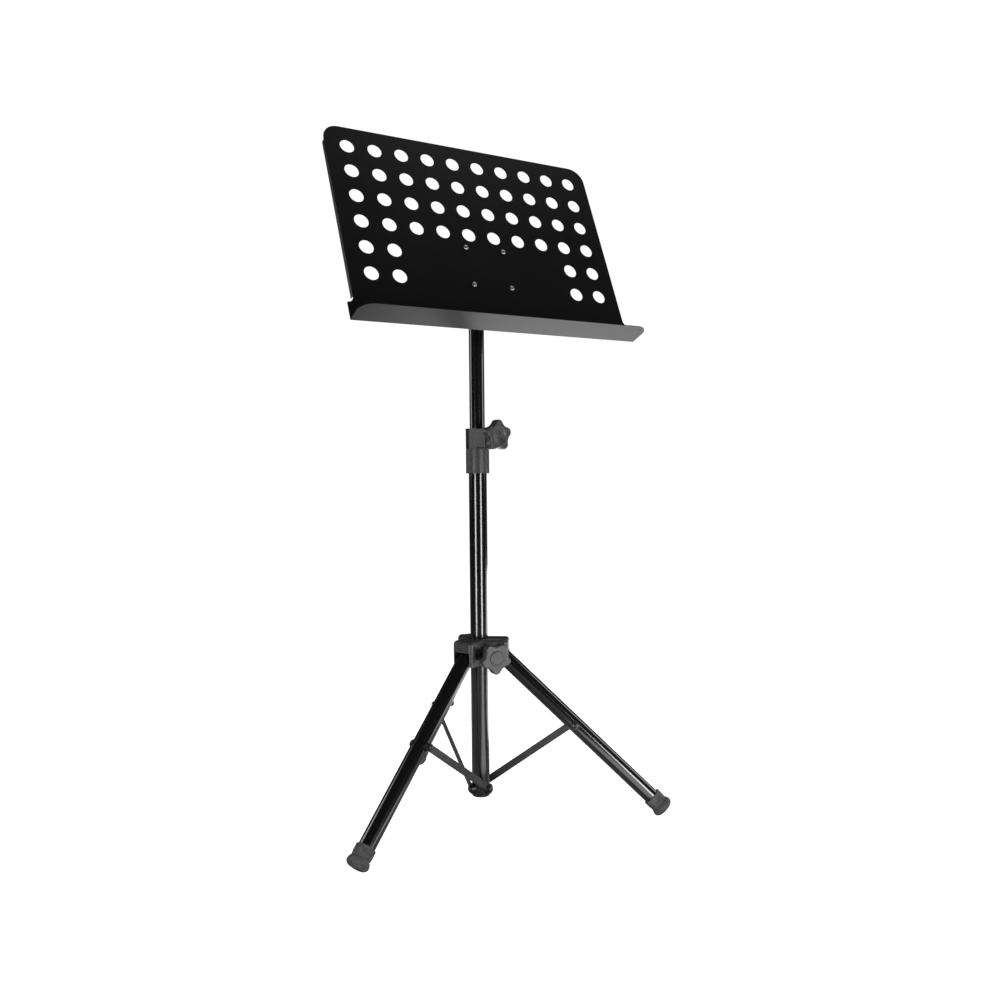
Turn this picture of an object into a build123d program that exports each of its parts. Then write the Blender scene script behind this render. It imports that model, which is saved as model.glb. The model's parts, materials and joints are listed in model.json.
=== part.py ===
from build123d import *
from math import atan2, cos, degrees, radians, sin, sqrt
import os

# A folding orchestral music stand: a perforated sheet-steel desk on a telescopic
# mast, carried by a tripod whose three tube legs fold in alongside the mast.
# Millimetres, +Z up, the desk faces -Y. Every piece is built about the mast axis,
# and is then shifted so that the origin is the middle of the footprint's box.

# --- desk: one bent and punched sheet ---------------------------------------
SHEET = 1.2
DESK_WIDTH = 498.0
DESK_HEIGHT = 357.0
DESK_CORNER = 27.5
HOLE_PITCH = 47.0
HOLE_DIAMETER = 24.0
HOLES_ACROSS = 10
FULL_ROWS = 4
END_ROWS = 2
END_COLUMNS = 2
TOP_ROW_RISE = 320.0
FLANGE_DEPTH = 9.0
FLANGE_BOTTOM = 42.0
FLANGE_TOP = DESK_HEIGHT - DESK_CORNER - 2.0
BAND_WIDTH = 519.0
BAND_HEIGHT = 31.0
BAND_FLARE = 9.0
BAND_TIP_RADIUS = 1.2
LEDGE_DEPTH = 47.5
LEDGE_CORNER = 22.0
BEND_OUTSIDE = 1.1
BEND_INSIDE = 1.0
DESK_LEAN = 22.9

# --- desk bracket and tilt pivot ---------------------------------------------
SCREW_SPACING = 70.0
SCREW_MID_RISE = 118.5
SCREW_RADIUS = 2.5
SCREW_HEAD = (4.2, 2.6)
SCREW_TAIL = 7.0
RECESS_LENGTH = 3.6
RECESS_WIDTH = 0.9
RECESS_FLOOR = 1.5
PANEL_NUT_FLATS = 8.0
PANEL_NUT_HEIGHT = 5.5
PANEL_NUT_FLANGE = (5.2, 1.2)
PIVOT_DEPTH = 48.0
PIVOT_HEIGHT = 887.0
BRACKET_SIZE = 92.0
BRACKET_CORNER = 8.0
BRACKET_THICK = 2.5
EAR_INSIDE = 17.5
EAR_OUTSIDE = EAR_INSIDE + BRACKET_THICK
EAR_ROOT = 62.0
EAR_END_RADIUS = 14.0
TILT_BOLT_RADIUS = 4.0
TILT_BOLT_HEAD = (13.0, 5.3)
TILT_BOLT_TAIL = 15.0
TILT_WASHER_RADIUS = 9.0
TILT_WASHER = 1.6
FRICTION_RADIUS = 13.0
HEAD_RADIUS = 16.5
HEAD_BOTTOM = 838.0
HEAD_CAP = 5.0
HEAD_NECK_HALF = 11.0
HEAD_PIN_HEIGHT = 852.0
HEAD_PIN_RADIUS = 2.0
HEAD_PIN_BORE = 1.1
LUG_HALF = EAR_INSIDE - 1.7
LUG_RADIUS = 13.5

# --- mast ---------------------------------------------------------------------
OUTER_RADIUS = 15.0
OUTER_WALL = 1.5
OUTER_BOTTOM = 31.0
OUTER_TOP = 612.0
PLUG_RIM = 2.5
PLUG_SKIRT = 4.5
PLUG_WALL = 2.0
INNER_RADIUS = 12.7
INNER_WALL = 1.2
INNER_BOTTOM = 340.0
INNER_TOP = 868.0
BUSH_SKIRT = 15.0
BUSH_SPIGOT = 12.0
BUSH_BORE = 8.0
COLLAR_RADIUS = 19.5
COLLAR_BOTTOM = 572.0
COLLAR_TOP = 647.0
COLLAR_STEP = 613.0
COLLAR_GROOVE = 0.7
COLLAR_GROOVE_WIDTH = 1.6
COLLAR_FLAT_START = -9.0
COLLAR_AZIMUTH = -80.0
COLLAR_BOSS_HALF = 14.0
COLLAR_BOSS_REACH = 37.0
COLLAR_BOSS_ROUND = 3.0
COLLAR_KNOB_HEIGHT = 633.5

# --- tripod -------------------------------------------------------------------
LEG_NAMES = ("left", "right", "rear")
TRIPOD_AZIMUTH = 205.0
LEG_SPACING = 360.0 / len(LEG_NAMES)
LEG_RADIUS = 13.3
LEG_WALL = 1.2
LEG_PIVOT_RADIUS = 34.0
LEG_PIVOT_HEIGHT = 271.0
LEG_OPEN_ANGLE = 46.4
LEG_TOP_OVERHANG = 4.0
LEG_PLUG_DEPTH = 14.0
BRACE_ON_LEG = 174.0
BRACE_FOOT_HEIGHT = 42.0
BRACE_WIDTH = 12.0
BRACE_THICK = 2.0
BRACE_EYE_RADIUS = 9.0
BRACE_EYE_BLEND = 6.0
BRACE_END_RADIUS = 6.5
BRACE_FACE = 16.2
HUB_BOTTOM = 254.5
HUB_TOP = 296.0
HUB_CORE_RADIUS = 19.5
HUB_ARM_REACH = 50.0
HUB_ARM_HALF = 20.5
HUB_ARM_CORNER = 8.0
HUB_ARM_ROUND = 6.0
HUB_SLOT_HALF = 14.8
HUB_MOUTH_RISE = 6.5
HUB_KNOB_AZIMUTH = TRIPOD_AZIMUTH + LEG_SPACING / 2
HUB_BOSS_RADIUS = 10.5
HUB_BOSS_REACH = 48.0
HUB_KNOB_HEIGHT = 271.0

# --- tripod fasteners -----------------------------------------------------------
PIN_RADIUS = 3.0
LOCK_NUT_FLATS = 9.6
LOCK_NUT_HEIGHT = 4.6
NUT_WASHER = (6.0, 1.0)
NUT_INSERT = (4.2, 5.6)
PIVOT_BOLT_HEAD = (5.6, 3.4)
PIVOT_BOLT_TAIL = 6.0
BRACE_BOLT_HEAD = (6.4, 3.8)
BRACE_BOLT_TAIL = 6.4
OPEN_PIVOT_GAP = 0.3
HEAD_SADDLE = (7.4, 1.2)
BRACE_SADDLE_RADIUS = 6.2
RIVET_HEAD = (5.8, 3.4)
RIVET_WASHER = (8.3, 1.2)
RIVET_TAIL = (4.4, 1.8)
FOOT_WASHER_RADIUS = 7.8

# --- rubber feet ----------------------------------------------------------------
FOOT_RING = 11.6
FOOT_ROUND = 6.4
FOOT_FLOOR = 3.0
FOOT_SOLE_DROP = 1.6
FOOT_SLEEVE_RADIUS = 15.5
FOOT_SLEEVE_LENGTH = 24.5
FOOT_RIBS = 3
FOOT_RIB = 0.6
FOOT_RIB_WIDTH = 2.0
FOOT_RIB_PITCH = 4.2

# --- star knobs -----------------------------------------------------------------
KNOB_LOBES = 5
KNOB_LOBE_CENTRE = 18.0
KNOB_LOBE_RADIUS = 8.0
KNOB_VALLEY = 20.0
KNOB_THICK = 14.0
KNOB_FRONT_ROUND = 3.0
KNOB_BACK_ROUND = 1.5
KNOB_NECK = 5.0
KNOB_NECK_RADIUS = 9.5
KNOB_DISH_RADIUS = 40.0
KNOB_DISH_DEPTH = 3.0
KNOB_DISC = (12.5, 1.6)
KNOB_SOCKET = 14.0
STUD_RADIUS = 3.0
STUD_TIP_RADIUS = 2.2
STUD_TIP = 2.0
CLAMP_NUT_FLATS = 10.0
CLAMP_NUT_THICK = 5.0
NUT_SEAT = 24.0
KNOB_STANDOFF = 2.0

RUNNING = 0.07
GAP = 0.1
THROUGH = 60.0

# The foot's rounded rim touches the floor, which sets the length of the legs.
FOOT_AXIS_HEIGHT = FOOT_ROUND + FOOT_RING * sin(radians(LEG_OPEN_ANGLE))
LEG_LENGTH = (LEG_PIVOT_HEIGHT - FOOT_AXIS_HEIGHT) / cos(radians(LEG_OPEN_ANGLE))

# The brace reaches from the mast's side to its bolt on the open leg.
BRACE_REACH = LEG_PIVOT_RADIUS + BRACE_ON_LEG * sin(radians(LEG_OPEN_ANGLE))
BRACE_RISE = LEG_PIVOT_HEIGHT - BRACE_ON_LEG * cos(radians(LEG_OPEN_ANGLE)) - BRACE_FOOT_HEIGHT
BRACE_LENGTH = sqrt(BRACE_REACH ** 2 + BRACE_RISE ** 2)
BRACE_OPEN_ANGLE = degrees(atan2(BRACE_REACH, BRACE_RISE))

# From the mast axis to the middle of the footprint's box.
FOOTPRINT_X = -12.912
FOOTPRINT_Y = 62.775


def tube(radius, wall, bottom, top):
    """A round tube along Z."""
    height = top - bottom
    ring = Circle(radius) - Circle(radius - wall)
    return Pos(0, 0, bottom) * extrude(ring, height)


def rod(radius, bottom, top):
    """A solid round bar along Z."""
    return Pos(0, 0, bottom) * extrude(Circle(radius), top - bottom)


def block(x0, x1, y0, y1, z0, z1):
    """A box given by its low and high faces."""
    sketch = Pos((x0 + x1) / 2, (y0 + y1) / 2) * Rectangle(x1 - x0, y1 - y0)
    return Pos(0, 0, z0) * extrude(sketch, z1 - z0)


def hexagon_nut(flats, bottom, top, bore=0.0):
    """A hexagon nut along Z, or a plain hexagon without a bore."""
    outline = RegularPolygon(flats / 2, 6, major_radius=False)
    if bore > 0:
        outline -= Circle(bore)
    return Pos(0, 0, bottom) * extrude(outline, top - bottom)


def dome_head(size, bottom):
    """A domed bolt or rivet head of (radius, height) standing on z = bottom."""
    radius, height = size
    rim = 0.35 * height
    flat = 0.15 * radius
    side = Polyline((0, 0), (radius, 0), (radius, rim))
    crown = ThreePointArc((radius, rim), (0.68 * radius, 0.82 * height), (flat, height))
    back = Polyline((flat, height), (0, height), (0, 0))
    face = make_face(Curve() + [side, crown, back])
    return Pos(0, 0, bottom) * revolve(Plane.XZ * face, Axis.Z)


def head_below(size, top):
    """A domed head that hangs below z = -top, pointing down."""
    return Rot(180, 0, 0) * dome_head(size, top)


def across(piece):
    """Turns a piece built along +Z to lie along +Y."""
    return Rot(-90, 0, 0) * piece


def along_x(piece):
    """Turns a piece built along +Z to lie along +X."""
    return Rot(0, 90, 0) * piece


# --- placements -----------------------------------------------------------------
def desk_place():
    """From the desk's own frame, bend line at z = 0 and front face at y = 0."""
    lean = Rot(-DESK_LEAN, 0, 0)
    return Pos(0, 0, PIVOT_HEIGHT) * lean * Pos(0, -PIVOT_DEPTH, -SCREW_MID_RISE)


def leg_azimuth(index):
    return TRIPOD_AZIMUTH + LEG_SPACING * index


def leg_place(index):
    """From the leg's own frame: its pivot at the origin and the leg along -Z."""
    pivot = Pos(LEG_PIVOT_RADIUS, 0, LEG_PIVOT_HEIGHT)
    return Rot(0, 0, leg_azimuth(index)) * pivot * Rot(0, -LEG_OPEN_ANGLE, 0)


def brace_place(index):
    """From the brace's own frame: its lower pivot at the origin, along +Z."""
    foot = Pos(0, 0, BRACE_FOOT_HEIGHT)
    return Rot(0, 0, leg_azimuth(index)) * foot * Rot(0, BRACE_OPEN_ANGLE, 0)


def radial_place(azimuth, height):
    """Turns a piece built along +Z to point out from the mast at this azimuth."""
    return Rot(0, 0, azimuth) * Pos(0, 0, height) * Rot(0, 90, 0)


# --- desk -------------------------------------------------------------------------
def screw_spots():
    half = SCREW_SPACING / 2
    return [(x, SCREW_MID_RISE + z) for x in (-half, half) for z in (-half, half)]


def punched_spots():
    """Centres of the round holes: full rows above, two at each end below."""
    spots = []
    for row in range(FULL_ROWS + END_ROWS):
        rise = TOP_ROW_RISE - HOLE_PITCH * row
        for column in range(HOLES_ACROSS):
            at_end = column < END_COLUMNS or column >= HOLES_ACROSS - END_COLUMNS
            if row < FULL_ROWS or at_end:
                spots.append((HOLE_PITCH * (column - (HOLES_ACROSS - 1) / 2), rise))
    return spots


def band_corners(outline):
    """The corners along the band's upper edge, split into inner ones and tips."""
    level = [v for v in outline.vertices() if abs(v.Y - BAND_HEIGHT) < GAP]
    tips = [v for v in level if abs(v.X) > BAND_WIDTH / 2 - GAP]
    inner = [v for v in level if abs(v.X) < DESK_WIDTH / 2 + GAP]
    return inner, tips


def panel_outline():
    """The flat face of the desk, with the wider band along its foot."""
    panel = Pos(0, DESK_HEIGHT / 2) * Rectangle(DESK_WIDTH, DESK_HEIGHT)
    panel = fillet(panel.vertices().group_by(Axis.Y)[-1], DESK_CORNER)
    outline = panel + Pos(0, BAND_HEIGHT / 2) * Rectangle(BAND_WIDTH, BAND_HEIGHT)
    outline = fillet(band_corners(outline)[0], BAND_FLARE)
    return fillet(band_corners(outline)[1], BAND_TIP_RADIUS)


def edges_along_x(solid, y, z):
    """The edges that run along X through the given y and z."""
    edges = solid.edges().filter_by(Axis.X)
    return [e for e in edges if abs(e.center().Y - y) < 0.01 and abs(e.center().Z - z) < 0.01]


def music_desk():
    outline = panel_outline()
    for x, z in punched_spots():
        outline -= Pos(x, z) * Circle(HOLE_DIAMETER / 2)
    for x, z in screw_spots():
        outline -= Pos(x, z) * Circle(SCREW_RADIUS + GAP)
    # Plane.XZ extrudes towards -Y, so a negative amount runs back from y = 0.
    sheet = extrude(Plane.XZ * outline, -SHEET)
    ledge = Pos(0, (SHEET - LEDGE_DEPTH) / 2) * Rectangle(BAND_WIDTH, SHEET + LEDGE_DEPTH)
    ledge = fillet(ledge.vertices().group_by(Axis.Y)[0], LEDGE_CORNER)
    sheet += extrude(ledge, SHEET)
    for side in (-1, 1):
        middle = side * (DESK_WIDTH - SHEET) / 2
        low, high = middle - SHEET / 2, middle + SHEET / 2
        sheet += block(low, high, 0, FLANGE_DEPTH, FLANGE_BOTTOM, FLANGE_TOP)
    sheet = fillet(edges_along_x(sheet, SHEET, 0), BEND_OUTSIDE)
    sheet = fillet(edges_along_x(sheet, 0, SHEET), BEND_INSIDE)
    return desk_place() * sheet


def desk_bracket():
    """A plate on the desk's back with two ears that straddle the tilt head."""
    plate = Pos(0, SCREW_MID_RISE) * RectangleRounded(BRACKET_SIZE, BRACKET_SIZE, BRACKET_CORNER)
    for x, z in screw_spots():
        plate -= Pos(x, z) * Circle(SCREW_RADIUS + GAP)
    bracket = Pos(0, SHEET, 0) * extrude(Plane.XZ * plate, -BRACKET_THICK)
    back = SHEET + BRACKET_THICK
    # The ears are drawn in a plane across the desk: local x runs back, local y up.
    root = Pos(back + 1.0, SCREW_MID_RISE) * Rectangle(2.0, EAR_ROOT)
    end = Pos(PIVOT_DEPTH, SCREW_MID_RISE) * Circle(EAR_END_RADIUS)
    ear = make_hull((root + end).edges()) - Pos(PIVOT_DEPTH, SCREW_MID_RISE) * Circle(TILT_BOLT_RADIUS + GAP)
    for x in (-EAR_INSIDE - BRACKET_THICK, EAR_INSIDE):
        bracket += Pos(x, 0, 0) * extrude(Plane.YZ * ear, BRACKET_THICK)
    return desk_place() * bracket


def desk_screws():
    """Four pan-head screws with a cross recess, heads on the desk's front."""
    tail = SHEET + BRACKET_THICK + SCREW_TAIL
    recess = Rectangle(RECESS_LENGTH, RECESS_WIDTH) + Rectangle(RECESS_WIDTH, RECESS_LENGTH)
    screws = []
    for x, z in screw_spots():
        screw = dome_head(SCREW_HEAD, 0) + rod(SCREW_RADIUS, -tail, 0)
        screw -= Pos(0, 0, RECESS_FLOOR) * extrude(recess, THROUGH)
        screws.append(desk_place() * Pos(x, 0, z) * Rot(90, 0, 0) * screw)
    return Compound(children=screws)


def desk_nuts():
    """Four flanged lock nuts behind the bracket."""
    face = SHEET + BRACKET_THICK
    radius, height = PANEL_NUT_FLANGE
    nut = hexagon_nut(PANEL_NUT_FLATS, 0, PANEL_NUT_HEIGHT) + rod(radius, 0, height)
    nut -= rod(SCREW_RADIUS, -1, THROUGH)
    return Compound(children=[desk_place() * Pos(x, face, z) * across(nut) for x, z in screw_spots()])


# --- tilt head ----------------------------------------------------------------------
def tilt_head():
    """A sleeve on the inner tube's top that carries the tilt barrel."""
    sleeve = rod(HEAD_RADIUS, HEAD_BOTTOM, INNER_TOP + HEAD_CAP)
    sleeve = chamfer(sleeve.edges().group_by(Axis.Z)[0], 1.5)
    sleeve -= rod(INNER_RADIUS, HEAD_BOTTOM - 1, INNER_TOP)
    side = LUG_HALF - 1.0
    neck = block(-side, side, -HEAD_NECK_HALF, HEAD_NECK_HALF, INNER_TOP, PIVOT_HEIGHT)
    barrel = along_tilt_axis(rod(LUG_RADIUS, -LUG_HALF, LUG_HALF))
    bore = along_tilt_axis(rod(TILT_BOLT_RADIUS + RUNNING, -THROUGH, THROUGH))
    return sleeve + neck + barrel - bore - head_pin_hole()


def head_pin_hole():
    return Pos(0, 0, HEAD_PIN_HEIGHT) * along_x(rod(HEAD_PIN_RADIUS, -THROUGH, THROUGH))


def head_pin():
    """A roll pin that locks the tilt head to the inner tube."""
    pin = tube(HEAD_PIN_RADIUS, HEAD_PIN_RADIUS - HEAD_PIN_BORE, -HEAD_RADIUS, HEAD_RADIUS)
    return Pos(0, 0, HEAD_PIN_HEIGHT) * along_x(pin)


def along_tilt_axis(piece):
    """Puts a piece built along +Z on the tilt axis, along +X."""
    return Pos(0, 0, PIVOT_HEIGHT) * along_x(piece)


def tilt_bolt():
    flats, height = TILT_BOLT_HEAD
    head = hexagon_nut(flats, -EAR_OUTSIDE - height, -EAR_OUTSIDE)
    return along_tilt_axis(head + rod(TILT_BOLT_RADIUS, -EAR_OUTSIDE, EAR_OUTSIDE + TILT_BOLT_TAIL))


def tilt_washer():
    ring = rod(TILT_WASHER_RADIUS, EAR_OUTSIDE, EAR_OUTSIDE + TILT_WASHER)
    return along_tilt_axis(ring - rod(TILT_BOLT_RADIUS, 0, THROUGH))


def friction_washers():
    """Two fibre rings between the barrel and the bracket's ears."""
    ring = rod(FRICTION_RADIUS, LUG_HALF + GAP, EAR_INSIDE) - rod(TILT_BOLT_RADIUS + GAP, 0, THROUGH)
    return Compound(children=[along_tilt_axis(ring), along_tilt_axis(Rot(180, 0, 0) * ring)])


def tilt_knob():
    knob = star_knob(False, TILT_BOLT_RADIUS + RUNNING, TILT_BOLT_TAIL + 1.0)
    return along_tilt_axis(Pos(0, 0, EAR_OUTSIDE + TILT_WASHER + GAP) * knob)


# --- star knobs -----------------------------------------------------------------------
def knob_outline():
    """Five round lobes joined by hollow arcs that are tangent to them."""
    half = radians(180 / KNOB_LOBES)
    turn = 2 * half
    lobe, reach, valley = KNOB_LOBE_RADIUS, KNOB_LOBE_CENTRE, KNOB_VALLEY
    hollow = (reach ** 2 - (valley - lobe) ** 2) / (2 * (reach * cos(half) - valley + lobe))
    lean = atan2(hollow * sin(half), hollow * cos(half) - reach)
    contact = (reach + lobe * cos(lean), lobe * sin(lean))
    edges = []
    for index in range(KNOB_LOBES):
        middle = radians(90) + turn * index
        low = turned_point(contact[0], -contact[1], middle)
        high = turned_point(contact[0], contact[1], middle)
        after = turned_point(contact[0], -contact[1], middle + turn)
        edges.append(ThreePointArc(low, turned_point(reach + lobe, 0, middle), high))
        edges.append(ThreePointArc(high, turned_point(valley, 0, middle + turn / 2), after))
    return make_face(Curve() + edges)


def turned_point(x, y, angle):
    return (x * cos(angle) - y * sin(angle), x * sin(angle) + y * cos(angle))


def star_knob(dished, bore, bore_depth):
    """A moulded five-lobed knob: its neck stands on z = 0 and its face points up."""
    top = KNOB_NECK + KNOB_THICK
    knob = Pos(0, 0, KNOB_NECK) * extrude(knob_outline(), KNOB_THICK)
    knob = fillet(knob.edges().group_by(Axis.Z)[-1], KNOB_FRONT_ROUND)
    knob = fillet(knob.edges().group_by(Axis.Z)[0], KNOB_BACK_ROUND)
    knob += rod(KNOB_NECK_RADIUS, 0, KNOB_NECK + 1)
    if dished:
        knob -= Pos(0, 0, top + KNOB_DISH_RADIUS - KNOB_DISH_DEPTH) * Sphere(KNOB_DISH_RADIUS)
    else:
        radius, height = KNOB_DISC
        disc = rod(radius, top - 1, top + height)
        knob += fillet(disc.edges().group_by(Axis.Z)[-1], 1.0)
    return knob - rod(bore, -1, bore_depth)


# --- mast ---------------------------------------------------------------------------------
def at_mast_foot(index, piece):
    """Puts a piece built along the tangent at one brace's rivet."""
    return Rot(0, 0, leg_azimuth(index)) * Pos(0, 0, BRACE_FOOT_HEIGHT) * piece


def outer_tube():
    mast = tube(OUTER_RADIUS, OUTER_WALL, OUTER_BOTTOM, OUTER_TOP)
    for index in range(len(LEG_NAMES)):
        mast -= at_mast_foot(index, across(rod(PIN_RADIUS, OUTER_RADIUS / 2, THROUGH)))
    return mast


def mast_end_plug():
    plug = rod(OUTER_RADIUS, OUTER_BOTTOM - PLUG_RIM, OUTER_BOTTOM)
    plug = fillet(plug.edges().group_by(Axis.Z)[0], 1.6)
    return plug + tube(OUTER_RADIUS - OUTER_WALL, PLUG_WALL, OUTER_BOTTOM, OUTER_BOTTOM + PLUG_SKIRT)


def inner_tube():
    return tube(INNER_RADIUS, INNER_WALL, INNER_BOTTOM, INNER_TOP) - head_pin_hole()


def guide_bush():
    """The plastic bush under the inner tube: it slides in the outer tube."""
    bottom = INNER_BOTTOM - GAP - BUSH_SKIRT
    top = INNER_BOTTOM + BUSH_SPIGOT
    skirt = rod(OUTER_RADIUS - OUTER_WALL - RUNNING, bottom, INNER_BOTTOM - GAP)
    spigot = rod(INNER_RADIUS - INNER_WALL - RUNNING, INNER_BOTTOM - 1, top)
    return skirt + spigot - rod(BUSH_BORE, bottom - 1, top + 1)


def collar_body():
    """A round sleeve below and a flat-sided block with a boss above, along +X."""
    body = rod(COLLAR_RADIUS, COLLAR_BOTTOM, COLLAR_TOP)
    flats = block(COLLAR_FLAT_START, THROUGH, -THROUGH, THROUGH, COLLAR_STEP, COLLAR_TOP + 1)
    flats -= block(-THROUGH, THROUGH + 1, -COLLAR_BOSS_HALF, COLLAR_BOSS_HALF, 0, COLLAR_TOP + 2)
    body -= flats
    body -= tube(COLLAR_RADIUS + 1, 1 + COLLAR_GROOVE, COLLAR_STEP - COLLAR_GROOVE_WIDTH, COLLAR_STEP)
    boss = block(0, COLLAR_BOSS_REACH, -COLLAR_BOSS_HALF, COLLAR_BOSS_HALF, COLLAR_STEP, COLLAR_TOP)
    return body + fillet(boss.edges().filter_by(Axis.X), COLLAR_BOSS_ROUND)


def height_collar():
    """The clamp collar, bored for both tubes and for its stud and nut."""
    body = collar_body() - rod(OUTER_RADIUS, COLLAR_BOTTOM - 1, OUTER_TOP)
    body -= rod(INNER_RADIUS + RUNNING, OUTER_TOP - 1, COLLAR_TOP + 1)
    return Rot(0, 0, COLLAR_AZIMUTH) * body - clamp_hole(COLLAR_AZIMUTH, COLLAR_KNOB_HEIGHT)


def clamp_hole(azimuth, height):
    """The hole of a clamp stud, with the pocket of its nut."""
    hole = rod(STUD_RADIUS + RUNNING, STUD_RADIUS, THROUGH)
    hole += hexagon_nut(CLAMP_NUT_FLATS, NUT_SEAT, NUT_SEAT + CLAMP_NUT_THICK)
    return radial_place(azimuth, height) * hole


def clamp_nut(azimuth, height):
    nut = hexagon_nut(CLAMP_NUT_FLATS, NUT_SEAT, NUT_SEAT + CLAMP_NUT_THICK, STUD_RADIUS + RUNNING)
    return radial_place(azimuth, height) * nut


def clamp_stud(azimuth, height, tube_radius, reach):
    """The steel screw moulded into a clamp knob: its turned-down tip meets the tube."""
    tip = tube_radius + OPEN_PIVOT_GAP
    stud = rod(STUD_RADIUS, tip + STUD_TIP, reach + KNOB_SOCKET) + rod(STUD_TIP_RADIUS, tip, tip + STUD_TIP)
    return radial_place(azimuth, height) * stud


def clamp_knob(azimuth, height, reach, dished):
    """A dished knob rests with one lobe up, a flat-faced one with a lobe down."""
    turn = 90 if dished else -90
    knob = Pos(0, 0, reach) * Rot(0, 0, turn) * star_knob(dished, STUD_RADIUS, KNOB_SOCKET)
    return radial_place(azimuth, height) * knob


# --- tripod -------------------------------------------------------------------------------
def hub_arm():
    """One clevis of the hub, pointing along +X, with rounded outer corners."""
    arm = block(5, HUB_ARM_REACH, -HUB_ARM_HALF, HUB_ARM_HALF, HUB_BOTTOM, HUB_TOP)
    corner = [e for e in arm.edges().filter_by(Axis.Z) if e.center().X > HUB_ARM_REACH - 1]
    arm = fillet(corner, HUB_ARM_CORNER)
    rim = [e for e in arm.edges() if e.center().Z > HUB_TOP - GAP and e.center().X > 6]
    return fillet(rim, HUB_ARM_ROUND)


def hub_slot():
    """The space of one leg's top, open below and outwards, and its bolt's hole."""
    sweep = sqrt(LEG_RADIUS ** 2 + LEG_TOP_OVERHANG ** 2)
    roof = LEG_PIVOT_HEIGHT + sweep + 1.0
    lip = LEG_PIVOT_RADIUS + sweep + GAP
    mouth = LEG_PIVOT_HEIGHT + HUB_MOUTH_RISE
    slot = block(HUB_CORE_RADIUS, lip, -HUB_SLOT_HALF, HUB_SLOT_HALF, HUB_BOTTOM - 1, roof)
    slot += block(lip - 1, THROUGH, -HUB_SLOT_HALF, HUB_SLOT_HALF, HUB_BOTTOM - 1, mouth)
    bolt = Pos(LEG_PIVOT_RADIUS, 0, LEG_PIVOT_HEIGHT) * across(rod(PIN_RADIUS, -THROUGH, THROUGH))
    return slot + bolt


def tripod_hub():
    hub = rod(HUB_CORE_RADIUS, HUB_BOTTOM, HUB_TOP)
    for index in range(len(LEG_NAMES)):
        hub += Rot(0, 0, leg_azimuth(index)) * hub_arm()
    hub += radial_place(HUB_KNOB_AZIMUTH, HUB_KNOB_HEIGHT) * rod(HUB_BOSS_RADIUS, OUTER_RADIUS, HUB_BOSS_REACH)
    for index in range(len(LEG_NAMES)):
        hub -= Rot(0, 0, leg_azimuth(index)) * hub_slot()
    hub -= rod(OUTER_RADIUS + RUNNING, HUB_BOTTOM - 1, HUB_TOP + 1)
    return hub - clamp_hole(HUB_KNOB_AZIMUTH, HUB_KNOB_HEIGHT)


def at_leg_pivots(piece):
    """One copy of a cross piece at each leg's pivot in the hub."""
    pivot = Pos(LEG_PIVOT_RADIUS, 0, LEG_PIVOT_HEIGHT)
    places = [Rot(0, 0, leg_azimuth(index)) * pivot for index in range(len(LEG_NAMES))]
    return Compound(children=[place * across(piece) for place in places])


def pivot_bolts():
    """Three bolts through the hub's ears, heads on the clockwise side."""
    shank = rod(PIN_RADIUS, -HUB_ARM_HALF, HUB_ARM_HALF + PIVOT_BOLT_TAIL)
    return at_leg_pivots(shank + head_below(PIVOT_BOLT_HEAD, HUB_ARM_HALF))


def pivot_nuts():
    return at_leg_pivots(hexagon_nut(LOCK_NUT_FLATS, HUB_ARM_HALF, HUB_ARM_HALF + LOCK_NUT_HEIGHT, PIN_RADIUS))


# --- legs and feet --------------------------------------------------------------------------
def at_brace_bolt(index, piece):
    """Puts a cross piece where the brace's bolt passes through a leg."""
    return leg_place(index) * Pos(0, 0, -BRACE_ON_LEG) * piece


def leg(index):
    """A round tube leg with cross holes for its pivot and its brace bolt."""
    body = tube(LEG_RADIUS, LEG_WALL, FOOT_FLOOR - LEG_LENGTH, LEG_TOP_OVERHANG)
    body -= across(rod(PIN_RADIUS + RUNNING, -THROUGH, THROUGH))
    return leg_place(index) * body - at_brace_bolt(index, across(rod(PIN_RADIUS, -THROUGH, THROUGH)))


def leg_plug(index):
    """The plastic insert that stiffens the tube at its pivot."""
    plug = rod(LEG_RADIUS - LEG_WALL, -LEG_PLUG_DEPTH, LEG_TOP_OVERHANG)
    return leg_place(index) * (plug - across(rod(PIN_RADIUS + RUNNING, -THROUGH, THROUGH)))


def foot_outline():
    """Half section of a foot: its sleeve, flared base, rounded rim and domed sole."""
    rim = FOOT_RING + FOOT_ROUND
    sleeve = FOOT_SLEEVE_RADIUS
    top = FOOT_SLEEVE_LENGTH
    diagonal = FOOT_ROUND * sin(radians(45))
    sole = -FOOT_ROUND - FOOT_SOLE_DROP
    inside = [(0, FOOT_FLOOR), (LEG_RADIUS, FOOT_FLOOR), (LEG_RADIUS, top)]
    wall = Polyline(*inside, (sleeve, top), (sleeve, FOOT_ROUND))
    flare = ThreePointArc((sleeve, FOOT_ROUND), (rim - 0.6, FOOT_ROUND / 2), (rim, 0))
    edge = ThreePointArc((rim, 0), (FOOT_RING + diagonal, -diagonal), (FOOT_RING, -FOOT_ROUND))
    dome = ThreePointArc((FOOT_RING, -FOOT_ROUND), (FOOT_RING / 2, sole + 0.4), (1.0, sole))
    close = Polyline((1.0, sole), (0, sole), (0, FOOT_FLOOR))
    return make_face(Curve() + [wall, flare, edge, dome, close])


def foot(index):
    """A ribbed rubber ferrule that stands on its rounded rim."""
    body = revolve(Plane.XZ * foot_outline(), Axis.Z)
    for rib in range(FOOT_RIBS):
        rib_top = FOOT_SLEEVE_LENGTH - FOOT_RIB - FOOT_RIB_PITCH * rib
        body += tube(FOOT_SLEEVE_RADIUS + FOOT_RIB, 1.5, rib_top - FOOT_RIB_WIDTH, rib_top)
    return leg_place(index) * Pos(0, 0, -LEG_LENGTH) * body


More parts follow.
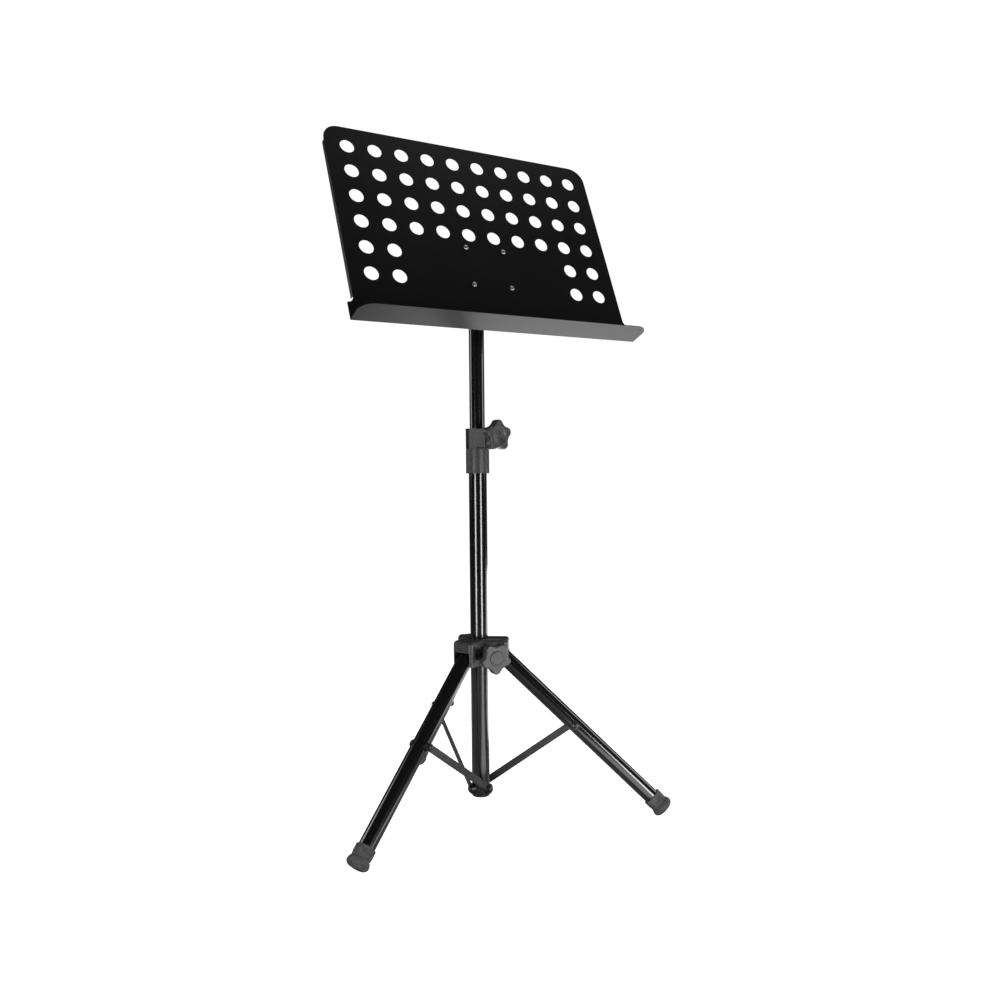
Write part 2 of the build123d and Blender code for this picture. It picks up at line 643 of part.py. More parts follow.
# --- braces ---------------------------------------------------------------------------------
def brace_bolt(index):
    """The bolt through the leg: a domed head outside, cut off flush at the spacer."""
    under_head = LEG_RADIUS + HEAD_SADDLE[1]
    shank = rod(PIN_RADIUS, -under_head, BRACE_FACE - OPEN_PIVOT_GAP)
    return at_brace_bolt(index, across(shank + head_below(BRACE_BOLT_HEAD, under_head)))


def brace_spacer(index):
    """Two saddle washers on the leg: one under the bolt head, one beside the brace."""
    radius, height = HEAD_SADDLE
    saddle = rod(BRACE_SADDLE_RADIUS, LEG_RADIUS / 2, BRACE_FACE - OPEN_PIVOT_GAP)
    saddle += rod(radius, -LEG_RADIUS - height, -LEG_RADIUS / 2)
    saddle = across(saddle - rod(PIN_RADIUS, -THROUGH, THROUGH)) - rod(LEG_RADIUS, -THROUGH, THROUGH)
    return at_brace_bolt(index, saddle)


def brace(index):
    """A flat steel bar with a wide eye at the mast and a round end at the leg."""
    bar = Pos(0, BRACE_LENGTH / 2) * Rectangle(BRACE_WIDTH, BRACE_LENGTH) + Circle(BRACE_EYE_RADIUS)
    necks = [v for v in bar.vertices() if 0 < v.Y < BRACE_EYE_RADIUS]
    bar = fillet(necks, BRACE_EYE_BLEND)
    bar += Pos(0, BRACE_LENGTH) * Circle(BRACE_END_RADIUS)
    bar -= Circle(PIN_RADIUS + RUNNING)
    bar -= Pos(0, BRACE_LENGTH) * Circle(PIN_RADIUS)
    return brace_place(index) * Pos(0, BRACE_FACE, 0) * extrude(Plane.XZ * bar, -BRACE_THICK)


def brace_nut(index):
    """The lock nut outside the brace, with the bolt's end and a washer under it."""
    outside = BRACE_FACE + BRACE_THICK
    radius, thick = NUT_WASHER
    nut = rod(PIN_RADIUS, BRACE_FACE, outside + BRACE_BOLT_TAIL) + rod(radius, outside, outside + thick)
    nut += hexagon_nut(LOCK_NUT_FLATS, outside, outside + LOCK_NUT_HEIGHT)
    nut += rod(NUT_INSERT[0], outside, outside + NUT_INSERT[1])
    return brace_place(index) * Pos(0, 0, BRACE_LENGTH) * across(nut)


def brace_rivets():
    """Three rivets through the mast's wall, each with a washer over its brace."""
    inside = OUTER_RADIUS - OUTER_WALL
    outside = BRACE_FACE + BRACE_THICK + GAP
    tail_radius, tail = RIVET_TAIL
    washer_radius, washer = RIVET_WASHER
    rivet = rod(PIN_RADIUS, inside - 1.0, outside) + rod(washer_radius, outside, outside + washer)
    rivet += dome_head(RIVET_HEAD, outside + washer) + rod(tail_radius, inside - 0.8 - tail, inside - 0.8)
    return Compound(children=[at_mast_foot(index, across(rivet)) for index in range(len(LEG_NAMES))])


def brace_washers():
    """Three saddle washers between the mast and the braces."""
    ring = rod(FOOT_WASHER_RADIUS, OUTER_RADIUS / 2, BRACE_FACE - GAP) - rod(PIN_RADIUS, 0, THROUGH)
    ring = across(ring) - rod(OUTER_RADIUS, -THROUGH, THROUGH)
    return Compound(children=[at_mast_foot(index, ring) for index in range(len(LEG_NAMES))])


# --- the whole stand ----------------------------------------------------------------------
def all_pieces():
    collar = (COLLAR_AZIMUTH, COLLAR_KNOB_HEIGHT)
    hub = (HUB_KNOB_AZIMUTH, HUB_KNOB_HEIGHT)
    collar_reach = COLLAR_BOSS_REACH + KNOB_STANDOFF
    hub_reach = HUB_BOSS_REACH + KNOB_STANDOFF
    pieces = {
        "music_desk": music_desk(),
        "desk_bracket": desk_bracket(),
        "desk_screws": desk_screws(),
        "desk_nuts": desk_nuts(),
        "tilt_head": tilt_head(),
        "head_pin": head_pin(),
        "tilt_bolt": tilt_bolt(),
        "tilt_washer": tilt_washer(),
        "friction_washers": friction_washers(),
        "tilt_knob": tilt_knob(),
        "inner_tube": inner_tube(),
        "guide_bush": guide_bush(),
        "outer_tube": outer_tube(),
        "mast_end_plug": mast_end_plug(),
        "height_collar": height_collar(),
        "collar_nut": clamp_nut(*collar),
        "collar_stud": clamp_stud(*collar, INNER_RADIUS, collar_reach),
        "collar_knob": clamp_knob(*collar, collar_reach, True),
        "tripod_hub": tripod_hub(),
        "hub_nut": clamp_nut(*hub),
        "hub_stud": clamp_stud(*hub, OUTER_RADIUS, hub_reach),
        "hub_knob": clamp_knob(*hub, hub_reach, False),
        "pivot_bolts": pivot_bolts(),
        "pivot_nuts": pivot_nuts(),
        "brace_rivets": brace_rivets(),
        "brace_washers": brace_washers(),
    }
    for index, name in enumerate(LEG_NAMES):
        pieces["leg_" + name] = leg(index)
        pieces["leg_plug_" + name] = leg_plug(index)
        pieces["foot_" + name] = foot(index)
        pieces["brace_bolt_" + name] = brace_bolt(index)
        pieces["brace_spacer_" + name] = brace_spacer(index)
        pieces["brace_" + name] = brace(index)
        pieces["brace_nut_" + name] = brace_nut(index)
    return pieces


def main():
    os.makedirs("parts", exist_ok=True)
    shift = Pos(-FOOTPRINT_X, -FOOTPRINT_Y, 0)
    for name, piece in all_pieces().items():
        export_step(shift * piece, "parts/" + name + ".step")
    print("leg length", round(LEG_LENGTH, 3), "brace length", round(BRACE_LENGTH, 3))


main()
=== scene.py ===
# %% [markdown]
# # A folding orchestral music stand
# The stand is a punched steel desk on a telescopic mast, over a tripod of three tube legs.
# The engineering model holds every size and every joint. This lesson gives the same pieces
# their finish: rounded edges, moulded knobs, ribbed feet, paint, plastic, rubber and zinc.
# Each step says what the piece is on the real stand, and why it is made the way it is.

# %% Load the frame
import json
import math
import bpy
from mathutils import Matrix, Vector


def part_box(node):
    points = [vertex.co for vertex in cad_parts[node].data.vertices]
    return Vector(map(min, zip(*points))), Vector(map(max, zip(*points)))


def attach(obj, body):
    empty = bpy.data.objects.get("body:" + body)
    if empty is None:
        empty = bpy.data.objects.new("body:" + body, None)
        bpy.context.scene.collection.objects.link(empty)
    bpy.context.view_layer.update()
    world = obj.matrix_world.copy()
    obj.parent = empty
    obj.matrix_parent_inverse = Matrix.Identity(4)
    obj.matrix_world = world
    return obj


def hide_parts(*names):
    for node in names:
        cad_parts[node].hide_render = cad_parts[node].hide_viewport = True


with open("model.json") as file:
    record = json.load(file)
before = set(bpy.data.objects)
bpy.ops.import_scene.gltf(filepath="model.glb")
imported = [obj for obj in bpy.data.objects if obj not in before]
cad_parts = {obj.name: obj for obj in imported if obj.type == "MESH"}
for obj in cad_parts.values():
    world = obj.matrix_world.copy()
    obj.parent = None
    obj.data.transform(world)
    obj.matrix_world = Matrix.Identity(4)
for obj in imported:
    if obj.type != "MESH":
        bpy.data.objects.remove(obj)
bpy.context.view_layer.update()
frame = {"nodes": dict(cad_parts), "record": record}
MM = 0.001
MERGE_DISTANCE = 0.000002
record = frame["record"]
joints = {joint["name"]: joint for joint in record["behaviour"]["joints"]}

# %% [markdown]
# ## Where things are
# Every place comes from the joints of the frame: the mast's axis, the tilt bolt, each leg's
# pivot. A piece is modelled upright at the origin, along Z, as it would lie on a bench, and
# its mesh is then seated in place. A seat is a matrix with three directions and a point.

# %% Places read from the frame
def joint_point(name):
    return Vector(joints[name]["pos_m"])


def joint_axis(name):
    return Vector(joints[name]["axis"]).normalized()


def seat_matrix(point, x_axis, z_axis):
    """A seat at a point whose Z and X run along the given directions."""
    z = z_axis.normalized()
    y = z.cross(x_axis).normalized()
    x = y.cross(z)
    turn = Matrix((x, y, z)).transposed()
    return Matrix.Translation(point) @ turn.to_4x4()


UP = Vector((0, 0, 1))
MAST = Vector((joint_point("mast_turn").x, joint_point("mast_turn").y, 0))
LEGS = ("left", "right", "rear")
LEG_ANGLE = math.radians(46.4)
FOOT_ROUND = 6.4
FOOT_RING = 11.6
BRACE_ON_LEG = 174.0
BRACE_FACE = 16.2

desk_up = Vector(next(m["axis"] for m in record["mounts"] if m["name"] == "music_ledge"))
desk_back = Vector((0, desk_up.z, -desk_up.y))
DESK_PIVOT_DEPTH = 48.0
DESK_PIVOT_RISE = 118.5
desk_origin = joint_point("desk_tilt") - DESK_PIVOT_DEPTH * MM * desk_back - DESK_PIVOT_RISE * MM * desk_up


def mast_seat(height=0.0):
    return Matrix.Translation(MAST + Vector((0, 0, height * MM)))


def knob_seat(name, reach):
    """Seats a knob on its stud, so many millimetres out from the mast's axis."""
    axis = joint_axis(name)
    height = Vector((0, 0, joint_point(name).z))
    return seat_matrix(MAST + height + reach * MM * axis, -UP, axis)


def leg_seat(side, along=0.0):
    """Seats a piece on a leg, with Z up the leg and Y across it, below the pivot."""
    across = joint_axis("leg_" + side + "_hinge")
    out = across.cross(UP)
    up_leg = math.cos(LEG_ANGLE) * UP - math.sin(LEG_ANGLE) * out
    point = joint_point("leg_" + side + "_hinge") - along * MM * up_leg
    return seat_matrix(point, across.cross(up_leg), up_leg)


def desk_seat(across, back, up):
    """Seats a piece on the desk with Z pointing out of its front."""
    point = desk_origin + Vector((across * MM, 0, 0)) + back * MM * desk_back + up * MM * desk_up
    return seat_matrix(point, Vector((1, 0, 0)), -desk_back)


pivot_height = joint_point("leg_left_hinge").z / MM
foot_height = FOOT_ROUND + FOOT_RING * math.sin(LEG_ANGLE)
leg_length = (pivot_height - foot_height) / math.cos(LEG_ANGLE)
print("mast axis at", MAST[:], "leg length", round(leg_length, 2), "mm")

# %% [markdown]
# ## Bench tools
# A few helpers keep the steps short. `only` selects one piece, because an operator acts on
# all that is selected. `lathe` pulls one point along a profile and spins it about Z, which
# suits feet, bolts, washers and plugs. `soften` rounds every sharp edge a little: no real
# edge is perfectly sharp, and the thin highlight along it is what makes a part look real.
# It then weights the shading by the faces' sizes, so that the large flats stay flat.

# %% Selecting, seating and rounding
def only(piece):
    if bpy.context.object and bpy.context.object.mode != "OBJECT":
        bpy.ops.object.mode_set(mode="OBJECT")
    bpy.ops.object.select_all(action="DESELECT")
    if piece:
        piece.select_set(True)
        bpy.context.view_layer.objects.active = piece


def edit(piece, mode="VERT"):
    only(piece)
    bpy.ops.object.mode_set(mode="EDIT")
    bpy.ops.mesh.select_mode(type=mode)


def pick_faces(piece, test):
    """Leaves the piece in edit mode with the faces that pass the test selected."""
    edit(piece, "FACE")
    bpy.ops.mesh.select_all(action="DESELECT")
    bpy.ops.object.mode_set(mode="OBJECT")
    for face in piece.data.polygons:
        face.select = test(face)
    bpy.ops.object.mode_set(mode="EDIT")


def tidy_mesh(piece):
    edit(piece)
    bpy.ops.mesh.select_all(action="SELECT")
    bpy.ops.mesh.remove_doubles(threshold=MERGE_DISTANCE)
    bpy.ops.mesh.normals_make_consistent(inside=False)
    bpy.ops.object.mode_set(mode="OBJECT")


def soften(piece, width, segments=2, angle=30):
    """Rounds the edges sharper than the angle, then shades the piece smooth."""
    only(piece)
    bpy.ops.object.modifier_add(type="BEVEL")
    bevel = piece.modifiers[-1]
    bevel.width = width * MM
    bevel.segments = segments
    bevel.limit_method = "ANGLE"
    bevel.angle_limit = math.radians(angle)
    bevel.miter_outer = "MITER_ARC"
    bpy.ops.object.modifier_apply(modifier=bevel.name)
    bpy.ops.object.shade_smooth_by_angle(angle=math.radians(angle))
    bpy.ops.object.modifier_add(type="WEIGHTED_NORMAL")
    weighted = piece.modifiers[-1]
    weighted.weight = 100
    weighted.keep_sharp = True
    bpy.ops.object.modifier_apply(modifier=weighted.name)


def seat(piece, place):
    """Moves a piece to its seat and puts the place into its mesh."""
    only(piece)
    piece.matrix_world = place
    bpy.ops.object.transform_apply(location=True, rotation=True, scale=True)


def seat_copies(piece, places):
    """Seats one copy for each place, each with its own mesh, and joins them."""
    copies = []
    for place in places:
        only(piece)
        bpy.ops.object.duplicate(linked=False)
        copy = bpy.context.object
        seat(copy, place)
        copies.append(copy)
    name = piece.name
    bpy.data.objects.remove(piece)
    return join(name, copies)


def join(name, pieces):
    only(pieces[0])
    for piece in pieces:
        piece.select_set(True)
    bpy.ops.object.join()
    joined = bpy.context.object
    joined.name = name
    joined.data.name = name
    return joined


# %% Turning, drilling and cutting
def lathe(name, profile, steps=64):
    """Spins a profile of (radius, height) points, in millimetres, about Z."""
    only(None)
    bpy.ops.mesh.primitive_plane_add(size=MM)
    piece = bpy.context.object
    piece.name = name
    edit(piece)
    bpy.ops.mesh.select_all(action="SELECT")
    bpy.ops.mesh.merge(type="CENTER")
    bpy.ops.transform.translate(value=(profile[0][0] * MM, 0, profile[0][1] * MM))
    for start, end in zip(profile, profile[1:]):
        step = ((end[0] - start[0]) * MM, 0, (end[1] - start[1]) * MM)
        bpy.ops.mesh.extrude_region_move(TRANSFORM_OT_translate={"value": step})
    bpy.ops.mesh.select_all(action="SELECT")
    bpy.ops.mesh.spin(steps=steps, angle=2 * math.pi, center=(0, 0, 0), axis=(0, 0, 1))
    tidy_mesh(piece)
    return piece


def arc(centre, radius, start, end, count=6):
    """Points of (radius, height) along an arc, angles in degrees from +radius."""
    points = []
    for index in range(count + 1):
        angle = math.radians(start + (end - start) * index / count)
        points.append((centre[0] + radius * math.cos(angle), centre[1] + radius * math.sin(angle)))
    return points


def cylinder(name, radius, bottom, top, sides=96):
    only(None)
    middle = (0, 0, (bottom + top) / 2 * MM)
    depth = (top - bottom) * MM
    bpy.ops.mesh.primitive_cylinder_add(vertices=sides, radius=radius * MM, depth=depth, location=middle)
    piece = bpy.context.object
    piece.name = name
    bpy.ops.object.transform_apply(location=True, rotation=True, scale=True)
    return piece


def cut(piece, tool):
    """Takes the tool's shape out of the piece, as a drill or a cutter does."""
    only(piece)
    bpy.ops.object.modifier_add(type="BOOLEAN")
    boolean = piece.modifiers[-1]
    boolean.operation = "DIFFERENCE"
    boolean.solver = "EXACT"
    boolean.object = tool
    bpy.ops.object.modifier_apply(modifier=boolean.name)
    bpy.data.objects.remove(tool)


# %% [markdown]
# ## Finishes
# A finish is a base colour, a roughness and a very small relief, and none of the three is
# even on a real surface. Each material below mixes noise of the right grain into all three.
# Object coordinates are used throughout, so that a pattern has its true size in metres.

# %% Node helpers
def new_finish(name):
    material = bpy.data.materials.new(name)
    material.use_nodes = True
    nodes = material.node_tree.nodes
    shader = nodes["Principled BSDF"]
    coordinates = nodes.new("ShaderNodeTexCoord")
    return material, nodes, material.node_tree.links, shader, coordinates.outputs["Object"]


def grain(nodes, links, place, scale, detail=3.0):
    """Noise whose blotches are about one over scale metres across."""
    noise = nodes.new("ShaderNodeTexNoise")
    noise.inputs["Scale"].default_value = scale
    noise.inputs["Detail"].default_value = detail
    links.new(place, noise.inputs["Vector"])
    return noise.outputs["Fac"]


def spread(nodes, links, value, low, high, start=0.35, end=0.65):
    """Maps a noise value to a range, for a roughness or a mixing share."""
    ranged = nodes.new("ShaderNodeMapRange")
    ranged.inputs["From Min"].default_value = start
    ranged.inputs["From Max"].default_value = end
    ranged.inputs["To Min"].default_value = low
    ranged.inputs["To Max"].default_value = high
    links.new(value, ranged.inputs["Value"])
    return ranged.outputs["Result"]


def tint(nodes, links, share, dark, light):
    mix = nodes.new("ShaderNodeMix")
    mix.data_type = "RGBA"
    mix.inputs["A"].default_value = (*dark, 1)
    mix.inputs["B"].default_value = (*light, 1)
    links.new(share, mix.inputs["Factor"])
    return mix.outputs["Result"]


def relief(nodes, links, height, shader, strength, depth):
    bump = nodes.new("ShaderNodeBump")
    bump.inputs["Strength"].default_value = strength
    bump.inputs["Distance"].default_value = depth * MM
    links.new(height, bump.inputs["Height"])
    links.new(bump.outputs["Normal"], shader.inputs["Normal"])


# %% [markdown]
# ### Powder coat, enamel and satin black
# The desk is powder coated: the powder melts into a fine pebbled skin, so it is dull from
# afar and speckled close up. The tubes are dipped in gloss enamel, which mirrors the lamps
# in long streaks with a slight waviness. The flat braces are satin, between the two.

# %% Paints
def powder_coat(name, dark, light):
    material, nodes, links, shader, place = new_finish(name)
    pebble = grain(nodes, links, place, 1400, 2)
    cloud = grain(nodes, links, place, 14, 4)
    links.new(tint(nodes, links, spread(nodes, links, cloud, 0, 1), dark, light), shader.inputs["Base Color"])
    links.new(spread(nodes, links, pebble, 0.34, 0.44), shader.inputs["Roughness"])
    shader.inputs["Specular IOR Level"].default_value = 0.22
    relief(nodes, links, pebble, shader, 0.25, 0.1)
    return material


def gloss_enamel(name):
    material, nodes, links, shader, place = new_finish(name)
    wave = grain(nodes, links, place, 45, 1)
    dust = grain(nodes, links, place, 600, 4)
    share = spread(nodes, links, dust, 0, 1)
    colour = tint(nodes, links, share, (0.0018, 0.0018, 0.002), (0.0035, 0.0035, 0.0038))
    links.new(colour, shader.inputs["Base Color"])
    links.new(spread(nodes, links, dust, 0.13, 0.2), shader.inputs["Roughness"])
    shader.inputs["Coat Weight"].default_value = 0.3
    shader.inputs["Coat Roughness"].default_value = 0.08
    relief(nodes, links, wave, shader, 0.02, 0.05)
    return material


def satin_black(name):
    material, nodes, links, shader, place = new_finish(name)
    dust = grain(nodes, links, place, 500, 4)
    scuff = grain(nodes, links, place, 70, 5)
    share = spread(nodes, links, scuff, 0, 1, 0.45, 0.75)
    colour = tint(nodes, links, share, (0.008, 0.008, 0.009), (0.026, 0.026, 0.027))
    links.new(colour, shader.inputs["Base Color"])
    links.new(spread(nodes, links, dust, 0.28, 0.42), shader.inputs["Roughness"])
    relief(nodes, links, dust, shader, 0.12, 0.05)
    return material


# %% [markdown]
# ### Moulded plastic, rubber and fibre
# The collar, hub and knobs are glass-filled nylon with a spark-eroded grain: dark grey, not
# black, and a little paler where the glass shows. Rubber is rougher and dusty.

# %% Plastics and rubber
def grained_nylon(name, dark, light):
    material, nodes, links, shader, place = new_finish(name)
    spark = grain(nodes, links, place, 1900, 3)
    flow = grain(nodes, links, place, 330, 5)
    links.new(tint(nodes, links, spread(nodes, links, flow, 0, 1), dark, light), shader.inputs["Base Color"])
    links.new(spread(nodes, links, spark, 0.36, 0.5), shader.inputs["Roughness"])
    relief(nodes, links, flow, shader, 0.5, 0.5)
    return material


def dusty_rubber(name):
    material, nodes, links, shader, place = new_finish(name)
    pore = grain(nodes, links, place, 900, 4)
    dust = grain(nodes, links, place, 90, 5)
    share = spread(nodes, links, dust, 0, 1, 0.4, 0.7)
    colour = tint(nodes, links, share, (0.042, 0.042, 0.043), (0.095, 0.094, 0.092))
    links.new(colour, shader.inputs["Base Color"])
    links.new(spread(nodes, links, pore, 0.62, 0.8), shader.inputs["Roughness"])
    relief(nodes, links, pore, shader, 0.5, 0.4)
    return material


def red_fibre(name):
    material, nodes, links, shader, place = new_finish(name)
    fleck = grain(nodes, links, place, 1200, 5)
    links.new(tint(nodes, links, fleck, (0.19, 0.06, 0.03), (0.33, 0.13, 0.07)), shader.inputs["Base Color"])
    links.new(spread(nodes, links, fleck, 0.55, 0.75), shader.inputs["Roughness"])
    relief(nodes, links, fleck, shader, 0.3, 0.08)
    return material


# %% [markdown]
# ### Zinc plate and black oxide
# The desk's screws and the nuts are zinc plated, with a faint yellow and blue cast. The
# tripod's bolts are blackened steel, dark but still a metal.

# %% Plated steels
def plated_steel(name, dark, light, smooth, rough):
    material, nodes, links, shader, place = new_finish(name)
    stain = grain(nodes, links, place, 260, 3)
    scratch = grain(nodes, links, place, 2600, 5)
    links.new(tint(nodes, links, spread(nodes, links, stain, 0, 1), dark, light), shader.inputs["Base Color"])
    links.new(spread(nodes, links, scratch, smooth, rough), shader.inputs["Roughness"])
    shader.inputs["Metallic"].default_value = 1.0
    relief(nodes, links, scratch, shader, 0.15, 0.03)
    return material


finishes = {
    "desk_paint": powder_coat("desk_powder_coat", (0.0015, 0.0015, 0.0016), (0.0026, 0.0026, 0.0028)),
    "bracket_paint": powder_coat("bracket_powder_coat", (0.008, 0.008, 0.009), (0.012, 0.012, 0.013)),
    "tube_paint": gloss_enamel("tube_gloss_enamel"),
    "brace_paint": satin_black("brace_satin_black"),
    "dark_plastic": grained_nylon("grained_dark_nylon", (0.014, 0.014, 0.015), (0.042, 0.042, 0.043)),
    "natural_plastic": grained_nylon("natural_nylon", (0.60, 0.58, 0.52), (0.70, 0.68, 0.63)),
    "fibre": red_fibre("red_vulcanised_fibre"),
    "foot_rubber": dusty_rubber("dusty_foot_rubber"),
    "zinc_steel": plated_steel("bright_zinc_plate", (0.50, 0.50, 0.47), (0.66, 0.66, 0.68), 0.22, 0.36),
    "black_steel": plated_steel("black_oxide_steel", (0.035, 0.035, 0.037), (0.075, 0.075, 0.078), 0.3, 0.42),
}
slots = {part["node"]: part["material_slot"] for part in record["subparts"]}
bodies = {node: body for body, nodes in record["behaviour"]["bodies"].items() for node in nodes}
for node, cad_piece in frame["nodes"].items():
    cad_piece.data.materials.clear()
    cad_piece.data.materials.append(finishes[slots[node]])
print(len(finishes), "finishes on", len(frame["nodes"]), "nodes")


# %% Handing a finished piece over
def finished(piece, node):
    """The piece stands for a node: it takes its finish, moves with its body and hides it."""
    piece.data.materials.clear()
    piece.data.materials.append(finishes[slots[node]])
    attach(piece, bodies[node])
    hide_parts(node)
    print("made", piece.name, "with", len(piece.data.polygons), "faces, for", node)


# %% [markdown]
# ## The desk, its bracket, the collar and the hub
# These have their exact shape in the engineering model, holes and bends included. Modelling
# them a second time would only add mistakes. A copy is merged, its flat triangles are
# dissolved into whole faces, and its edges are rounded: the thick skin of paint rounds a
# punched edge, and a mould needs a radius on every corner.

# %% Refined copies of exact shapes
def refined(node, name, width, segments=2, angle=30):
    only(None)
    piece = bpy.data.objects.new(name, frame["nodes"][node].data.copy())
    bpy.context.scene.collection.objects.link(piece)
    edit(piece)
    bpy.ops.mesh.select_all(action="SELECT")
    bpy.ops.mesh.remove_doubles(threshold=MERGE_DISTANCE)
    bpy.ops.mesh.dissolve_limited(angle_limit=math.radians(0.4))
    bpy.ops.object.mode_set(mode="OBJECT")
    soften(piece, width, segments, angle)
    finished(piece, node)
    return piece


refined("music_desk", "desk_sheet", 0.28, 2, 35)
refined("desk_bracket", "bracket_plate", 0.4, 2, 35)
refined("tilt_head", "tilt_head_moulding", 0.8, 3, 35)
refined("height_collar", "collar_moulding", 0.7, 3, 35)
refined("tripod_hub", "hub_moulding", 0.7, 3, 35)
for side in LEGS:
    refined("brace_" + side, "brace_bar_" + side, 0.35, 2, 35)

# %% [markdown]
# ## Tubes
# The mast and legs are drawn steel tube. A cylinder's two ends are inset by the wall's
# thickness and bridged, which opens the bore through it, and the cut rims are rounded.

# %% Mast and leg tubes
def steel_tube(name, radius, wall, bottom, top, sides=128):
    piece = cylinder(name, radius, bottom, top, sides)
    pick_faces(piece, lambda face: abs(face.normal.z) > 0.9)
    bpy.ops.mesh.inset(thickness=wall * MM)
    bpy.ops.mesh.bridge_edge_loops()
    bpy.ops.object.mode_set(mode="OBJECT")
    tidy_mesh(piece)
    soften(piece, 0.25, 2, 50)
    return piece


OUTER_RADIUS, OUTER_WALL = 15.0, 1.5
INNER_RADIUS, INNER_WALL = 12.7, 1.2
LEG_RADIUS = 13.3
outer_low, outer_high = (corner.z / MM for corner in map(Vector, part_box("outer_tube")))
inner_low, inner_high = (corner.z / MM for corner in map(Vector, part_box("inner_tube")))
outer = steel_tube("mast_outer", OUTER_RADIUS, OUTER_WALL, outer_low, outer_high)
seat(outer, mast_seat())
finished(outer, "outer_tube")
inner = steel_tube("mast_inner", INNER_RADIUS, INNER_WALL, inner_low, inner_high)
seat(inner, mast_seat())
finished(inner, "inner_tube")
for side in LEGS:
    leg = steel_tube("tube_leg_" + side, LEG_RADIUS, INNER_WALL, -leg_length + 3.0, 4.0)
    seat(leg, leg_seat(side))
    finished(leg, "leg_" + side)

# %% [markdown]
# ## Rubber feet
# A foot is a ribbed sleeve over a rounded, flared base, moulded in one. It is a body of
# revolution, so its half outline is spun: up the sleeve in steps for the ribs, round the
# flare, and over the sole with its two tread grooves.

# %% Feet
SLEEVE_RADIUS = 15.5
SLEEVE_TOP = 24.5
RIB_PITCH = 4.2
WAIST = 8.2


def foot_profile():
    rim = FOOT_RING + FOOT_ROUND
    points = [(0, 3), (LEG_RADIUS, 3), (LEG_RADIUS, SLEEVE_TOP), (SLEEVE_RADIUS, SLEEVE_TOP)]
    for rib in range(3):
        top = SLEEVE_TOP - 0.6 - RIB_PITCH * rib
        points += [(SLEEVE_RADIUS, top), (SLEEVE_RADIUS + 0.55, top - 0.3)]
        points += [(SLEEVE_RADIUS + 0.55, top - 1.8), (SLEEVE_RADIUS, top - 2.1)]
    points += [(SLEEVE_RADIUS, WAIST + 0.8), (SLEEVE_RADIUS - 0.9, WAIST), (SLEEVE_RADIUS - 0.9, WAIST - 1.2)]
    points += [(SLEEVE_RADIUS + 0.7, WAIST - 2.4), (rim - 0.9, 3.6)]
    points += arc((FOOT_RING, 0), FOOT_ROUND, 20, -90, 12)
    for groove in (8.8, 4.9):
        points += [(groove + 0.6, -7.0), (groove + 0.5, -6.0), (groove - 0.5, -6.0), (groove - 0.6, -7.2)]
    return points + [(0, -7.8)]


for side in LEGS:
    foot = lathe("ribbed_foot_" + side, foot_profile(), 96)
    soften(foot, 0.2, 2, 35)
    seat(foot, leg_seat(side, leg_length))
    finished(foot, "foot_" + side)

# %% [markdown]
# ## Star knobs
# A star knob has five lobes for the fingers. Its outline is round lobes joined by hollow
# arcs that touch them smoothly, so it is worked out from three radii. One point is pulled
# along it, the loop is filled and raised to the knob's thickness, and the rims are rounded.
# The collar's knob is dished in the middle, and the other two carry a raised round cap.

# %% Star knobs
LOBES = 5
LOBE_RADIUS = 8.0
LOBE_REACH = 18.0
VALLEY = 20.0
KNOB_NECK = 5.0
KNOB_TOP = 19.0
DISH_BALL = 40.0
DISH_DEPTH = 3.0
COLLAR_KNOB_REACH = 39.0
HUB_KNOB_REACH = 50.0
TILT_KNOB_REACH = 21.7


def turned_point(x, y, angle):
    return (x * math.cos(angle) - y * math.sin(angle), x * math.sin(angle) + y * math.cos(angle))


def star_outline(count=14):
    half = math.pi / LOBES
    free = VALLEY - LOBE_RADIUS
    hollow = (LOBE_REACH ** 2 - free ** 2) / (2 * (LOBE_REACH * math.cos(half) - free))
    lean = math.atan2(hollow * math.sin(half), hollow * math.cos(half) - LOBE_REACH)
    swing = math.atan2(LOBE_REACH * math.sin(half), hollow - LOBE_REACH * math.cos(half))
    points = []
    for lobe in range(LOBES):
        middle = math.radians(90) + 2 * half * lobe
        for index in range(count + 1):
            angle = -lean + 2 * lean * index / count
            x, y = LOBE_REACH + LOBE_RADIUS * math.cos(angle), LOBE_RADIUS * math.sin(angle)
            points.append(turned_point(x, y, middle))
        for index in range(1, count):
            angle = math.pi + swing - 2 * swing * index / count
            reach = hollow - VALLEY
            x, y = hollow + reach * math.cos(angle), reach * math.sin(angle)
            points.append(turned_point(x, y, middle + half))
    return points


def plate(name, outline, bottom, top):
    """Pulls a point along a flat outline, fills the loop and raises it."""
    only(None)
    bpy.ops.mesh.primitive_plane_add(size=MM)
    piece = bpy.context.object
    piece.name = name
    edit(piece)
    bpy.ops.mesh.select_all(action="SELECT")
    bpy.ops.mesh.merge(type="CENTER")
    bpy.ops.transform.translate(value=(outline[0][0] * MM, outline[0][1] * MM, bottom * MM))
    for start, end in zip(outline, outline[1:]):
        step = ((end[0] - start[0]) * MM, (end[1] - start[1]) * MM, 0)
        bpy.ops.mesh.extrude_region_move(TRANSFORM_OT_translate={"value": step})
    bpy.ops.mesh.select_all(action="SELECT")
    bpy.ops.mesh.edge_face_add()
    bpy.ops.mesh.extrude_region_move(TRANSFORM_OT_translate={"value": (0, 0, (top - bottom) * MM)})
    tidy_mesh(piece)
    return piece


